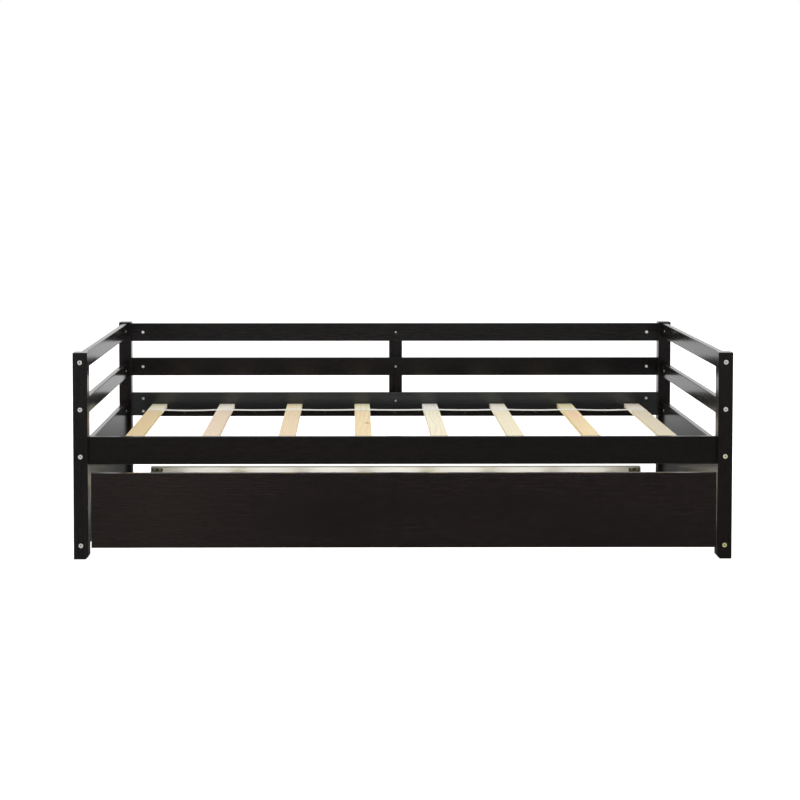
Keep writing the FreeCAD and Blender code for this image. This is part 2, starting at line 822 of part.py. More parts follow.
def caster_screw_places():
    """Four screws up through each fork plate, near its corners."""
    seat = dims.caster_height - dims.fork_thick
    return [
        place.multiply(aimed((dims.fork_screw_x * side, dims.fork_screw_y * depth, 0), (0, 0, -1)))
        for place in caster_places(seat)
        for side, depth in corners()
    ]


def block_screw_places():
    """Two screws from each block's inner face through it into the side board."""
    places = []
    level = (dims.caster_height + TRUNDLE_SLAT_LOW) / 2
    for side, _ in LEFT_RIGHT:
        x = dims.trundle_shift + (TRUNDLE_IN - dims.block_width) * side
        for y in CASTER_Y:
            for offset in (-dims.block_screw_spread, dims.block_screw_spread):
                places.append(aimed((x, y + offset, level), (-side, 0, 0), (0, 1, 0)))
    return places


def rear_screw_places():
    """Two screws through the rear rail into the end of each side board."""
    middle = dims.trundle_half - dims.board_thick / 2
    height = dims.side_top - dims.trundle_low
    return [
        aimed((dims.trundle_shift + middle * side, dims.trundle_rear, dims.trundle_low + height * share), (0, 1, 0))
        for side, _ in LEFT_RIGHT
        for share in REAR_SCREW_SHARES
    ]


def trundle_cleat_screw_places():
    """Screws from the trundle cleats into the front panel and the rear rail."""
    level = dims.trundle_cleat_low + dims.trundle_cleat_height / 2
    faces = ((TRUNDLE_FRONT + dims.trundle_cleat_depth, 1), (TRUNDLE_BACK - dims.trundle_cleat_depth, -1))
    half = TRUNDLE_IN.value
    return [
        aimed((x + dims.trundle_shift.value, y, level), (0, outward, 0))
        for y, outward in faces
        for x in row(-half, half, CLEAT_SCREWS)
    ]


def wheel(label, place):
    """A plastic wheel turning about X, with a hub, a thin web and a rounded tread."""
    body = node(label, place)
    rod(body, "X", (-dims.wheel_width / 2, 0, 0), dims.wheel_radius, dims.wheel_width)
    doc.recompute()
    tread = body.newObject("PartDesign::Fillet", "Tread")
    blank = body.Group[0]
    rims = [f"Edge{number}" for number, edge in enumerate(blank.Shape.Edges, 1) if len(edge.Vertexes) == 1]
    tread.Base = (blank, rims)
    bind(tread, Radius=dims.wheel_edge)
    rim = dims.wheel_radius - dims.web_recess
    for side in (-1, 1):
        x_low = span(side, dims.wheel_width / 2 - dims.web_recess, dims.wheel_width / 2)[0]
        bore(body, "X", (x_low, 0, 0), rim, dims.web_recess)
    rod(body, "X", (-dims.hub_width / 2, 0, 0), dims.hub_radius, dims.hub_width)
    bore(body, "X", (-dims.hub_width / 2, 0, 0), dims.axle_bore, dims.hub_width)


def wheels():
    for side, side_name in LEFT_RIGHT:
        for y, depth_name in zip(CASTER_Y, ("front", "back")):
            place = (dims.trundle_shift + CASTER_X * side, y, dims.wheel_radius)
            wheel(f"wheel_{depth_name}_{side_name}", place)


def trundle_frame():
    trundle_panel()
    for side, side_name in LEFT_RIGHT:
        trundle_side(side, side_name)
    trundle_rear_rail()
    trundle_cleat("trundle_front_cleat", TRUNDLE_FRONT, TRUNDLE_FRONT + dims.trundle_cleat_depth)
    trundle_cleat("trundle_rear_cleat", TRUNDLE_BACK - dims.trundle_cleat_depth, TRUNDLE_BACK)


def trundle_hardware(masters):
    group("trundle_corner_brackets", (bracket_master(), bracket_places()))
    group("caster_blocks", (block_master(), caster_places(TRUNDLE_SLAT_LOW)))
    group("caster_forks", (fork_master(), caster_places(dims.wheel_radius)))
    group("caster_axles", (axle_master(), caster_places(dims.wheel_radius)))
    group("caster_screws", (masters.stub_screw, caster_screw_places()))
    group(
        "trundle_screws",
        (masters.stub_screw, bracket_screw_places()),
        (masters.long_screw, rear_screw_places()),
        (masters.short_screw, trundle_cleat_screw_places()),
        (masters.block_screw, block_screw_places()),
    )
    strap_top = (TRUNDLE_SLAT_LOW + dims.slat_thick + dims.strap_thick).value
    strap_ys = [dims.strap_offset.value * depth for depth, _ in FRONT_BACK]
    shift = dims.trundle_shift.value
    group(
        "trundle_staples",
        (masters.staple, staple_places(dims.trundle_slat_pitch, strap_top, strap_ys, shift)),
    )


def check(items):
    """Stops on any feature that failed and on any sub-part without a valid shape."""
    for item in doc.Objects:
        if {"Invalid", "Error"} & set(item.State):
            raise RuntimeError(f"{item.Name} ({item.Label}) failed: {item.State}")
    for item in items:
        if item.Shape.isNull() or not item.Shape.isValid():
            raise RuntimeError(f"{item.Label} has no valid shape")


def main():
    masters = SimpleNamespace(
        bolt=bolt_master(),
        nut=nut_master(),
        dowel=dowel_master(),
        staple=staple_master(),
        stub_screw=screw_master("stub_screw_master", dims.stub_screw_length),
        short_screw=screw_master("short_screw_master", dims.short_screw_length),
        long_screw=screw_master("long_screw_master", dims.long_screw_length),
        block_screw=screw_master("block_screw_master", dims.block_screw_length),
    )
    bed_frame()
    bed_slats()
    bed_fasteners(masters)
    trundle_frame()
    trundle_slats()
    trundle_hardware(masters)
    wheels()
    doc.recompute()
    check(subparts)
    os.makedirs("parts", exist_ok=True)
    for item in subparts:
        item.Shape.exportStep(f"parts/{item.Label}.step")
        print(f"{item.Label}: {len(item.Shape.Solids)} solid(s), {item.Shape.Volume / 1000:.1f} cm3")


main()
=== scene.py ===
import math
import random

import bmesh
import bpy
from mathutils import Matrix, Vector


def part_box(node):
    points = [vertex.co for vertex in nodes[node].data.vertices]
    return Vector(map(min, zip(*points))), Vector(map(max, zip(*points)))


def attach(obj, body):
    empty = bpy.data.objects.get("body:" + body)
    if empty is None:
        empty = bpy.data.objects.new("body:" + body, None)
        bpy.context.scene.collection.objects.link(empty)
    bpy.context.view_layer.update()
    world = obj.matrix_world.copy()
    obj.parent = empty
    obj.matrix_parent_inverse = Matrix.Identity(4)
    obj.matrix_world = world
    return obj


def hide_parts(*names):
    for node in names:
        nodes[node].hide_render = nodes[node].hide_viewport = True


# The trundle bed's looks: stained and pale wood, webbing, plated steel and plastic, on the CAD frame.
# Metres. +X runs along the bed's length, +Y from the open front to the railed back, +Z up.

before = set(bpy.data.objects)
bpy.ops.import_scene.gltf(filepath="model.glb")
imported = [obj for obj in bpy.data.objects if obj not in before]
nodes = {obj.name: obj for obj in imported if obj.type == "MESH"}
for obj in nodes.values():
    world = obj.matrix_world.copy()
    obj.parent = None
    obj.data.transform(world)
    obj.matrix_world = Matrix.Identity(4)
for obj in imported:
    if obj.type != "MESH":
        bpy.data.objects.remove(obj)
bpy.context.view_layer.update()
random.seed(7)

SLATS = 8

# Camera: a long lens from the front, a little left of the middle
CAMERA_PLACE = (-0.148, -5.6092, 1.1766)
CAMERA_LENS = 76.69
CAMERA_SENSOR = 36
CAMERA_SHIFT = (0.045, -0.20)
CAMERA_PITCH = math.radians(2.431)
CAMERA_YAW = math.radians(0.343)


# Shader building

# Places of a mix node's colour sockets, which share their names with its number and vector sockets
COLOUR_A = 6
COLOUR_B = 7
COLOUR_RESULT = 2


class Shader:
    """A node material under construction, with its Principled shader as the surface."""

    def __init__(self, name):
        self.material = bpy.data.materials.new(name)
        self.material.use_nodes = True
        self.tree = self.material.node_tree
        self.surface = self.tree.nodes["Principled BSDF"]

    def feed(self, socket, value):
        """Links an output to a socket, or sets the socket to a plain value."""
        if isinstance(value, bpy.types.NodeSocket):
            self.tree.links.new(value, socket)
        else:
            socket.default_value = value

    def add(self, kind, inputs=None, **settings):
        """A new node with its settings made and its inputs fed."""
        node = self.tree.nodes.new("ShaderNode" + kind)
        for name, value in settings.items():
            setattr(node, name, value)
        for name, value in (inputs or {}).items():
            self.feed(node.inputs[name], value)
        return node

    def set(self, **inputs):
        """Feeds the surface's sockets, named with underscores for spaces."""
        for name, value in inputs.items():
            self.feed(self.surface.inputs[name.replace("_", " ")], value)

    def maths(self, operation, first, second=0.0, clamp=False):
        return self.add("Math", {0: first, 1: second}, operation=operation, use_clamp=clamp).outputs[0]

    def mix(self, share, first, second, blend="MIX"):
        """A colour between two colours, or the first with a share of it multiplied by the second."""
        inputs = {"Factor": share, COLOUR_A: first, COLOUR_B: second}
        return self.add("Mix", inputs, data_type="RGBA", blend_type=blend).outputs[COLOUR_RESULT]

    def spread(self, value, low, high, start=0.0, end=1.0):
        """A value mapped from low..high to start..end and held there."""
        inputs = {"Value": value, "From Min": low, "From Max": high, "To Min": start, "To Max": end}
        return self.add("MapRange", inputs).outputs["Result"]

    def noise(self, vector, scale, detail=3.0, rough=0.5):
        inputs = {"Vector": vector, "Scale": scale, "Detail": detail, "Roughness": rough}
        return self.add("TexNoise", inputs).outputs["Fac"]

    def place(self):
        """The three coordinates of the point in the piece's own space."""
        return self.add("TexCoord").outputs["Object"]

    def bump(self, height, depth, strength=1.0):
        """Relief of a given depth in metres from a height of 0 to 1."""
        inputs = {"Height": height, "Distance": depth, "Strength": strength}
        self.set(Normal=self.add("Bump", inputs).outputs["Normal"])


def linear(level):
    """The linear strength of one colour part that a screen shows at a level from 0 to 255."""
    if level <= 10:
        return level / 3295
    return ((level / 255 + 0.055) / 1.055) ** 2.4


def colour(red, green, blue):
    """A linear colour from the red, green and blue that a screen shows."""
    return (linear(red), linear(green), linear(blue), 1)


def deeper(shade, tint):
    """A colour with its red, green and blue scaled."""
    return (*[part * scale for part, scale in zip(shade, tint)], 1)


def joined(shader, *parts):
    """A vector from its parts."""
    return shader.add("CombineXYZ", dict(enumerate(parts))).outputs[0]


# Wood: the patterns of a sawn board

# Which axes lie across, beside and along a board whose grain runs on the named axis
GRAIN_AXES = {"x": (1, 2, 0), "y": (2, 0, 1), "z": (0, 1, 2)}
SLOW_STRETCH = 0.16
THIN_STRETCH = 0.025
# Bends of the growth rings, as noise scale and metres of reach
RING_BENDS = ((9.0, 0.035), (70.0, 0.003))
FIBRE_SCALE = 900.0
FLECK_SCALE = 150.0
BLOTCH_SCALE = 5.0
# A wave node turns once in this share of its space at a scale of 1
WAVE_TURN = math.tau / 20


def along_grain(shader, grain, offset):
    """Coordinates across, beside and along a board, from the axis its grain runs on, moved by the offset."""
    parts = shader.add("SeparateXYZ", {0: shader.place()}).outputs
    return [shader.maths("ADD", parts[index], shift) for index, shift in zip(GRAIN_AXES[grain], offset)]


def grain_pattern(shader, grain, ring_gap):
    """Growth rings, fine fibres, coarser flecks and slow blotches of a sawn board, each from 0 to 1."""
    pith = (random.uniform(0.05, 0.12), random.uniform(-0.03, 0.03), random.uniform(-9, 9))
    across, side, along = along_grain(shader, grain, pith)
    slow = joined(shader, across, side, shader.maths("MULTIPLY", along, SLOW_STRETCH))
    bent = across
    for scale, reach in RING_BENDS:
        swing = shader.maths("SUBTRACT", shader.noise(slow, scale, 2.0), 0.5)
        bent = shader.maths("ADD", bent, shader.maths("MULTIPLY", swing, reach))
    rings = shader.add(
        "TexWave",
        {"Vector": joined(shader, bent, side, 0.0), "Scale": WAVE_TURN / ring_gap, "Distortion": 0.0},
        wave_type="RINGS", rings_direction="Z", wave_profile="SAW",
    ).outputs["Fac"]
    thin = joined(shader, across, side, shader.maths("MULTIPLY", along, THIN_STRETCH))
    fibres = shader.noise(thin, FIBRE_SCALE, 3.0, 0.6)
    flecks = shader.noise(slow, FLECK_SCALE, 3.0, 0.6)
    blotches = shader.noise(slow, BLOTCH_SCALE, 3.0)
    return rings, fibres, flecks, blotches


# Cosines of the edge's turn away from the face, where wear starts and where it is full
WORN_FACING = (0.98, 0.80)


def worn_edges(shader, radius):
    """From 0 on a face to 1 on an outer edge."""
    rounded = shader.add("Bevel", {"Radius": radius}, samples=4).outputs["Normal"]
    true = shader.add("NewGeometry").outputs["True Normal"]
    facing = shader.add("VectorMath", {0: rounded, 1: true}, operation="DOT_PRODUCT").outputs["Value"]
    return shader.spread(facing, *WORN_FACING)


def spot(shader, axes, centre, reach, edge):
    """1 inside an ellipse on the plane of two axes, falling to 0 at its rim from a share of its reach."""
    parts = shader.add("SeparateXYZ", {0: shader.place()}).outputs
    offsets = [
        shader.maths("DIVIDE", shader.maths("SUBTRACT", parts[axis], middle), half)
        for axis, middle, half in zip(axes, centre, reach)
    ]
    distance = shader.add("VectorMath", {0: joined(shader, *offsets)}, operation="LENGTH").outputs["Value"]
    return shader.spread(distance, edge, 1.0, 1.0, 0.0)


# Stain over early wood where it is thin and thick, over late wood, and in the open pores
STAIN_SHADES = (colour(25, 21, 20), colour(15, 13, 12), colour(8, 6, 5), colour(34, 28, 25))
STAIN_RING_GAP = 0.0045
STAIN_RELIEF = 0.00003
WORN_STAIN = colour(52, 38, 30)
WORN_RADIUS = 0.0016


def espresso(name, grain, tint, patch=None):
    """Near-black stained pine under a semi-gloss lacquer, with a patch that may be another shade of stain,
    or painted light.
    """
    shader = Shader(name)
    rings, fibres, flecks, blotches = grain_pattern(shader, grain, STAIN_RING_GAP)
    pale, dark, late, pore = [deeper(shade, tint) for shade in STAIN_SHADES]
    stain = shader.mix(shader.spread(blotches, 0.36, 0.64), dark, pale)
    flecked = shader.mix(shader.spread(flecks, 0.4, 0.66, 0.0, 0.7), stain, late)
    streaked = shader.mix(shader.spread(rings, 0.2, 1.0, 0.0, 0.4), flecked, late)
    fibred = shader.mix(shader.spread(fibres, 0.45, 0.75, 0.0, 0.5), streaked, pore)
    if patch:
        *place, share, shade = patch
        fibred = shader.mix(shader.maths("MULTIPLY", spot(shader, *place), share), fibred, shade)
    handled = shader.spread(blotches, 0.35, 0.65, 0.05, 0.4)
    wear = shader.maths("MULTIPLY", worn_edges(shader, WORN_RADIUS), handled)
    shader.set(Base_Color=shader.mix(wear, fibred, WORN_STAIN))
    fine_haze = shader.spread(fibres, 0.3, 0.7, 0.13, 0.19)
    slow_haze = shader.spread(blotches, 0.3, 0.7, 0.0, 0.04)
    shader.set(Roughness=shader.maths("ADD", fine_haze, slow_haze))
    ring_relief = shader.maths("MULTIPLY", rings, 0.35)
    relief = shader.maths("ADD", ring_relief, shader.maths("MULTIPLY", fibres, 0.65))
    shader.bump(relief, STAIN_RELIEF, 0.5)
    return shader.material


PINE_RING_GAP = 0.0055
PINE_RELIEF = 0.00012
# Where the rings, fibres, flecks and blotches of pale pine start and reach their full tint, and that tint
PINE_FIGURE = (
    (0.3, 1.0, colour(233, 208, 178)), (0.5, 0.8, colour(220, 196, 166)), (0.5, 0.7, colour(240, 224, 204)),
    (0.45, 0.75, colour(240, 222, 200)),
)


def pine(name, grain, body, changes=(), marks=(), figure=0.35):
    """Pale pine, which can change tone beyond places on an axis and have knots or flushed patches. Some of
    these changes carry painted light or a painted shadow line.
    """
    shader = Shader(name)
    patterns = grain_pattern(shader, grain, PINE_RING_GAP)
    rings, fibres = patterns[:2]
    tone = body
    for axis, start, soft, far_tone in changes:
        along = shader.add("SeparateXYZ", {0: shader.place()}).outputs[axis]
        ragged = shader.maths("ADD", along, shader.spread(fibres, 0.2, 0.8, -soft / 2, soft / 2))
        tone = shader.mix(shader.spread(ragged, start, start + soft), tone, far_tone)
    for centre, reach, edge, strength, tint in marks:
        mark = shader.maths("MULTIPLY", spot(shader, "XY", centre, reach, edge), strength)
        tone = shader.mix(mark, tone, tint)
    for pattern, (low, high, tint) in zip(patterns, PINE_FIGURE):
        tone = shader.mix(shader.spread(pattern, low, high, 0.0, figure), tone, tint, "MULTIPLY")
    shader.set(Base_Color=tone)
    shader.set(Roughness=shader.spread(fibres, 0.3, 0.7, 0.52, 0.68))
    shader.set(Specular_IOR_Level=0.35)
    ring_relief = shader.maths("MULTIPLY", rings, 0.3)
    relief = shader.maths("ADD", ring_relief, shader.maths("MULTIPLY", fibres, 0.7))
    shader.bump(relief, PINE_RELIEF, 0.6)
    return shader.material


# Metal, plastic and webbing

# The passivation yellows where x minus this slope times z passes from the first value to the second
YELLOWING_SLOPE = 2.2
YELLOWING = (0.18, 0.4)
SCRATCH_SCALE = 400.0
DULLED_ZINC = colour(150, 146, 138)
RECESS_PAINTED_SHADE = colour(18, 17, 16)


def plated(name, bright, warm, metallic, recess):
    """Zinc-plated steel, yellower low down at the right, with fine scratches and painted shade darkening its
    recesses.
    """
    shader = Shader(name)
    place = shader.place()
    parts = shader.add("SeparateXYZ", {0: place}).outputs
    slope = shader.maths("SUBTRACT", parts["X"], shader.maths("MULTIPLY", parts["Z"], YELLOWING_SLOPE))
    tint = shader.spread(slope, *YELLOWING)
    cloud = shader.noise(place, SCRATCH_SCALE, 4.0, 0.6)
    dulled = shader.spread(cloud, 0.35, 0.75, 0.0, 0.2)
    clean = shader.mix(dulled, shader.mix(tint, bright, warm), DULLED_ZINC)
    # Painted shade: recesses such as the bolt sockets darken by ambient occlusion
    open_air = shader.add("AmbientOcclusion", {"Distance": recess}, samples=6).outputs["AO"]
    shader.set(Base_Color=shader.mix(shader.spread(open_air, 0.5, 0.95), RECESS_PAINTED_SHADE, clean))
    shader.set(Metallic=metallic)
    shader.set(Roughness=shader.spread(cloud, 0.3, 0.7, 0.32, 0.48))
    shader.bump(cloud, 0.00003, 0.5)
    return shader.material


PEEL_SCALE = 1400.0


def powder_coat(name, dark, pale):
    """Powder coat with its fine orange-peel texture."""
    shader = Shader(name)
    peel = shader.noise(shader.place(), PEEL_SCALE, 2.0)
    shader.set(Base_Color=shader.mix(shader.spread(peel, 0.3, 0.7), dark, pale))
    shader.set(Roughness=shader.spread(peel, 0.3, 0.7, 0.42, 0.58))
    shader.bump(peel, 0.00006, 0.6)
    return shader.material


MOULD_SCALE = 900.0
SCUFF_SCALE = 120.0


def nylon(name):
    """Moulded black nylon, scuffed grey where the wheel rolls."""
    shader = Shader(name)
    place = shader.place()
    mould = shader.noise(place, MOULD_SCALE, 3.0)
    scuff = shader.spread(shader.noise(place, SCUFF_SCALE, 4.0, 0.7), 0.52, 0.7)
    worn = shader.maths("MULTIPLY", scuff, 0.6)
    shader.set(Base_Color=shader.mix(worn, colour(36, 36, 37), colour(84, 82, 78)))
    shader.set(Roughness=shader.spread(mould, 0.3, 0.7, 0.38, 0.55))
    shader.bump(mould, 0.00005, 0.6)
    return shader.material


WEFT_GAP = 0.0011
WARP_GAP = 0.0014
SOIL_SCALE = 18.0


def woven(name):
    """White polyester webbing: warp cords along the strap, crossed by fine weft."""
    shader = Shader(name)
    parts = shader.add("SeparateXYZ", {0: shader.place()}).outputs
    weft = shader.maths("SINE", shader.maths("MULTIPLY", parts["X"], math.tau / WEFT_GAP))
    warp = shader.maths("SINE", shader.maths("MULTIPLY", parts["Y"], math.tau / WARP_GAP))
    height = shader.spread(shader.maths("MULTIPLY", weft, warp), -1.0, 1.0)
    soil = shader.noise(shader.place(), SOIL_SCALE, 4.0)
    thread = shader.mix(height, colour(240, 239, 234), colour(255, 255, 252))
    soiled = shader.spread(soil, 0.45, 0.8, 0.0, 0.25)
    shader.set(Base_Color=shader.mix(soiled, thread, colour(226, 223, 214)))
    shader.set(Roughness=shader.spread(height, 0.0, 1.0, 0.85, 0.62))
    shader.set(Sheen_Weight=0.25, Sheen_Roughness=0.4, Specular_IOR_Level=0.3)
    shader.bump(height, 0.00018, 0.8)
    return shader.material


def paint(name, material):
    """Gives a CAD node its material."""
    mesh = nodes[name].data
    if mesh.materials:
        for index in range(len(mesh.materials)):
            mesh.materials[index] = material
    else:
        mesh.materials.append(material)


# Bed frame: every stained board has its own grain, along its length

STAINED = {
    "z": ["post_front_left", "post_front_right", "post_back_left", "post_back_right", "back_centre_support"],
    "y": [
        "end_top_rail_left", "end_top_rail_right", "end_middle_rail_left", "end_middle_rail_right",
        "end_panel_left", "end_panel_right",
    ],
    "x": [
        "front_rail", "back_lower_rail", "back_middle_rail", "back_top_rail", "front_cleat", "back_cleat",
        "trundle_front_panel",
    ],
}

# A patch is its plane, centre, reach and edge, then its share and its shade
PANEL_PALE_END = ("XZ", (-0.74, 0.13), (0.55, 0.40), 0.0, 0.3, colour(58, 49, 46))
# The back lower rail's front face is a lighter grey: painted light, bounced from the pale slats
RAIL_FACE_PAINTED_BOUNCE = ("XY", (0.0, 0.4965), (4.0, 0.009), 0.5, 0.8, colour(63, 65, 67))
STAIN_AND_PAINTED_LIGHT_PATCHES = {"trundle_front_panel": PANEL_PALE_END, "back_lower_rail": RAIL_FACE_PAINTED_BOUNCE}
USUAL_TINT = (1.35, 1.4, 1.5)
STAIN_TINTS = {
    "back_middle_rail": (1.3, 1.5, 1.7), "back_top_rail": (2.0, 2.3, 2.5),
    "back_centre_support": (2.0, 2.2, 2.5), "front_rail": (1.05, 1.05, 0.95),
    "trundle_front_panel": (1.8, 1.6, 1.6), "post_front_left": (1.5, 1.6, 1.7),
    "post_front_right": (1.15, 0.95, 1.0),
}
for grain, names in STAINED.items():
    for name in names:
        tint = STAIN_TINTS.get(name, USUAL_TINT)
        paint(name, espresso("espresso_" + name, grain, tint, STAIN_AND_PAINTED_LIGHT_PATCHES.get(name)))

# Pale pine: each slat's tone at its near end, and at its far end beyond the strap. The far-end tones are the
# slats' own change of tone, lifted with painted light against the shade near the back rails.

TAIL_START = 0.31
TAIL_BLEND = 0.03
SLAT_TONES = [
    (colour(236, 214, 168), colour(250, 247, 217)),
    (colour(238, 222, 198), colour(255, 250, 236)),
    (colour(241, 222, 188), colour(255, 244, 210)),
    (colour(247, 228, 186), colour(255, 252, 212)),
    (colour(252, 247, 223), colour(255, 253, 250)),
    (colour(248, 242, 214), colour(255, 250, 238)),
    (colour(248, 228, 184), colour(246, 240, 196)),
    (colour(238, 231, 208), colour(252, 247, 234)),
]

# A mark is its centre, reach and edge, then its strength and its tint
KNOT = ((-0.104, 0.03), (0.012, 0.024), 0.3, 0.65, colour(178, 142, 98))
FLUSH = ((0.610, 0.20), (0.026, 0.09), 0.3, 0.8, colour(252, 212, 184))
SLAT_MARKS = {4: [KNOT], 7: [FLUSH]}

for number, (body, tail) in enumerate(SLAT_TONES, 1):
    tail_change = ("Y", TAIL_START, TAIL_BLEND, tail)
    marks = SLAT_MARKS.get(number, ())
    paint(f"slat_{number}", pine(f"pine_slat_{number}", "y", body, [tail_change], marks))
# The trundle's slats take the far-end tones, painted light included, in reverse order
for number, (_, tail) in enumerate(reversed(SLAT_TONES), 1):
    paint(f"trundle_slat_{number}", pine(f"pine_trundle_slat_{number}", "y", tail))

CREAM = colour(251, 250, 242)
WHITE_WITH_PAINTED_LIGHT = colour(252, 255, 255)
HONEY = colour(232, 212, 172)
USUAL_FIGURE = 0.4
FAINT_FIGURE = 0.08

# Changes of tone of the trundle's rear rail: its axis, start and softness, then the tone beyond. Its back
# face takes a pine tone, and the grey band along its top is a painted shadow line.
RAIL_BACK_TONE = ("Y", 0.482, 0.001, colour(226, 208, 172))
# A grey band along the rail's top: a painted shadow line
RAIL_TOP_PAINTED_SHADOW = ("Z", 0.1005, 0.001, colour(172, 172, 162))
PALE_BOARDS = {
    "trundle_side_left": ("y", CREAM, FAINT_FIGURE), "trundle_side_right": ("y", CREAM, FAINT_FIGURE),
    "trundle_front_cleat": ("x", CREAM, USUAL_FIGURE), "trundle_rear_cleat": ("x", CREAM, USUAL_FIGURE),
    "caster_blocks": ("y", HONEY, USUAL_FIGURE), "rail_dowels": ("x", HONEY, USUAL_FIGURE),
}
for name, (grain, body, figure) in PALE_BOARDS.items():
    paint(name, pine("pine_" + name, grain, body, figure=figure))
rail_changes = [RAIL_BACK_TONE, RAIL_TOP_PAINTED_SHADOW]
# The rail's front face is near-white: pale pine lifted with painted light, while its back face keeps a pine
# tone
paint("trundle_rear_rail", pine("pine_trundle_rear_rail", "x", WHITE_WITH_PAINTED_LIGHT, rail_changes, figure=FAINT_FIGURE))

# Hardware

SILVER = colour(240, 238, 232)
YELLOWED = colour(228, 228, 150)
zinc = plated("zinc", SILVER, YELLOWED, 0.4, 0.005)
# Barrel nuts and staples: white and not metallic, a painted glint in place of the light that bright zinc
# catches
painted_glint_zinc = plated("painted_glint_zinc", colour(255, 255, 255), colour(252, 251, 246), 0.0, 0.0002)
for name in (
    "frame_bolts", "support_screws", "caster_forks", "caster_axles", "caster_screws", "trundle_screws",
):
    paint(name, zinc)
for name in ("barrel_nuts", "slat_staples", "trundle_staples"):
    paint(name, painted_glint_zinc)
paint("trundle_corner_brackets", powder_coat("olive_coat", colour(84, 84, 62), colour(106, 106, 80)))
paint("cleat_screws", powder_coat("black_coat", colour(38, 40, 36), colour(52, 54, 48)))
black_nylon = nylon("black_nylon")
for name in nodes:
    if name.startswith("wheel_"):
        paint(name, black_nylon)


# Webbing straps, each lying on the slats and hanging a little between them

STRAP_RIBS = 9
RIB_STEPS = 6
RIB_HEIGHT = 0.00012
EDGE_STEPS = 5
BAY_SAG = (0.6, 0.3, 0.25, 0.3, 0.35, 0.45, 0.6)
COARSE_STEP = 0.006
FINE_STEP = 0.0006
STAPLE_REACH = 0.004
STAPLE_DENT = 0.00095
STAPLE_HALF_WIDTH = 0.0066
STAPLE_HALF_WIRE = 0.0006
DENT_FADE = 0.0011
# How far the straps stray sideways, and how often along X
WANDER = 0.0004
WANDER_TURNS = 9


def strap_stations(slats, start, end):
    """Places along the strap, close together at each staple."""
    centres = [(low.x + high.x) / 2 for low, high in slats]
    places = set()
    x = start
    while x < end:
        places.add(round(x, 5))
        near = min(abs(x - centre) for centre in centres) < STAPLE_REACH + COARSE_STEP
        x += FINE_STEP if near else COARSE_STEP
    places.add(round(end, 5))
    for low, high in slats:
        places.update(round(edge, 5) for edge in (low.x, high.x) if start < edge < end)
    return sorted(places)


def hang(x, slats, deepest):
    """How far the strap is below the slats' tops at a place along it."""
    for (_, left), (right, _), share in zip(slats, slats[1:], BAY_SAG):
        if left.x < x < right.x:
            along = (x - left.x) / (right.x - left.x)
            return deepest * share * 4 * along * (1 - along)
    return 0.0


def fade(distance, reach):
    """1 inside the reach, falling smoothly to 0 beyond it."""
    over = min(max((distance - reach) / DENT_FADE, 0.0), 1.0)
    return 1 - over * over * (3 - 2 * over)


def strap_section(half_width, thick):
    """Points round the strap's cross-section as (across, height, is_top), with ribs on its top."""
    top = []
    steps = STRAP_RIBS * RIB_STEPS
    for index in range(steps + 1):
        share = index / steps
        across = (2 * share - 1) * (half_width - thick / 2)
        rib = 0.5 - 0.5 * math.cos(math.tau * STRAP_RIBS * share)
        top.append((across, thick - RIB_HEIGHT * (1 - rib), 1.0))
    round_right = [
        (half_width - thick / 2 + math.sin(turn) * thick / 2, thick / 2 + math.cos(turn) * thick / 2, 0.0)
        for turn in [math.pi * step / EDGE_STEPS for step in range(1, EDGE_STEPS)]
    ]
    bottom = [(-across, 0.0, 0.0) for across, _, _ in top[::RIB_STEPS]]
    round_left = [(-across, height, 0.0) for across, height, _ in reversed(round_right)]
    return top + round_right + bottom + round_left


def tube(name, rings):
    """A closed mesh through rings of points, smooth along its length."""
    mesh = bmesh.new()
    loops = [[mesh.verts.new(point) for point in ring] for ring in rings]
    for first, second in zip(loops, loops[1:]):
        for index in range(len(first)):
            after = (index + 1) % len(first)
            mesh.faces.new((first[index], first[after], second[after], second[index]))
    mesh.faces.new(loops[0][::-1])
    mesh.faces.new(loops[-1])
    bmesh.ops.recalc_face_normals(mesh, faces=mesh.faces)
    for face in mesh.faces:
        face.smooth = len(face.verts) == 4
    data = bpy.data.meshes.new(name)
    mesh.to_mesh(data)
    mesh.free()
    return data


def webbing(name, node, slat_names, body, material):
    """A strap in place of a CAD strap: ribbed, round-edged, pressed in by its staples, sagging unevenly."""
    slats = [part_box(each) for each in slat_names]
    low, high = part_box(node)
    slat_top = slats[0][1].z
    middle_y = (low.y + high.y) / 2
    section = strap_section((high.y - low.y) / 2, high.z - slat_top)
    centres = [(first.x + last.x) / 2 for first, last in slats]
    path = [(x, hang(x, slats, slat_top - low.z)) for x in strap_stations(slats, low.x, high.x)]
    phase = random.uniform(0, math.tau)
    rings = []
    for x, drop in path:
        pressed = STAPLE_DENT * fade(min(abs(x - centre) for centre in centres), STAPLE_HALF_WIRE)
        wander = WANDER * math.sin(WANDER_TURNS * x + phase)
        ring = []
        for across, height, is_top in section:
            dent = is_top * pressed * fade(abs(across), STAPLE_HALF_WIDTH)
            ring.append((x, middle_y + across + wander, slat_top - drop + height - dent))
        rings.append(ring)
    strap = bpy.data.objects.new(name, tube(name, rings))
    strap.data.materials.append(material)
    bpy.context.scene.collection.objects.link(strap)
    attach(strap, body)
    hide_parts(node)


polyester = woven("white_webbing")
for depth in ("front", "back"):
    webbing(
        f"bed_webbing_{depth}", f"slat_strap_{depth}", [f"slat_{number}" for number in range(1, SLATS + 1)],
        "bed_frame", polyester,
    )
    webbing(
        f"trundle_webbing_{depth}", f"trundle_strap_{depth}",
        [f"trundle_slat_{number}" for number in range(1, SLATS + 1)], "trundle", polyester,
    )


# Stage: pale floor, white surroundings and soft studio light

FLOOR_SIZE = 60
FLOOR_DROP = 0.0005
FLOOR_GLOW = 0.9
# The floor's strength in mirror reflections near the bed, and where along Y it grows, from what to what
MIRRORED_NEAR = 0.10
MIRRORED_BEHIND = (1.3, 3.6, 0.0, 0.76)
MIRRORED_AHEAD = (-2.8, -4.2, 0.0, 0.12)


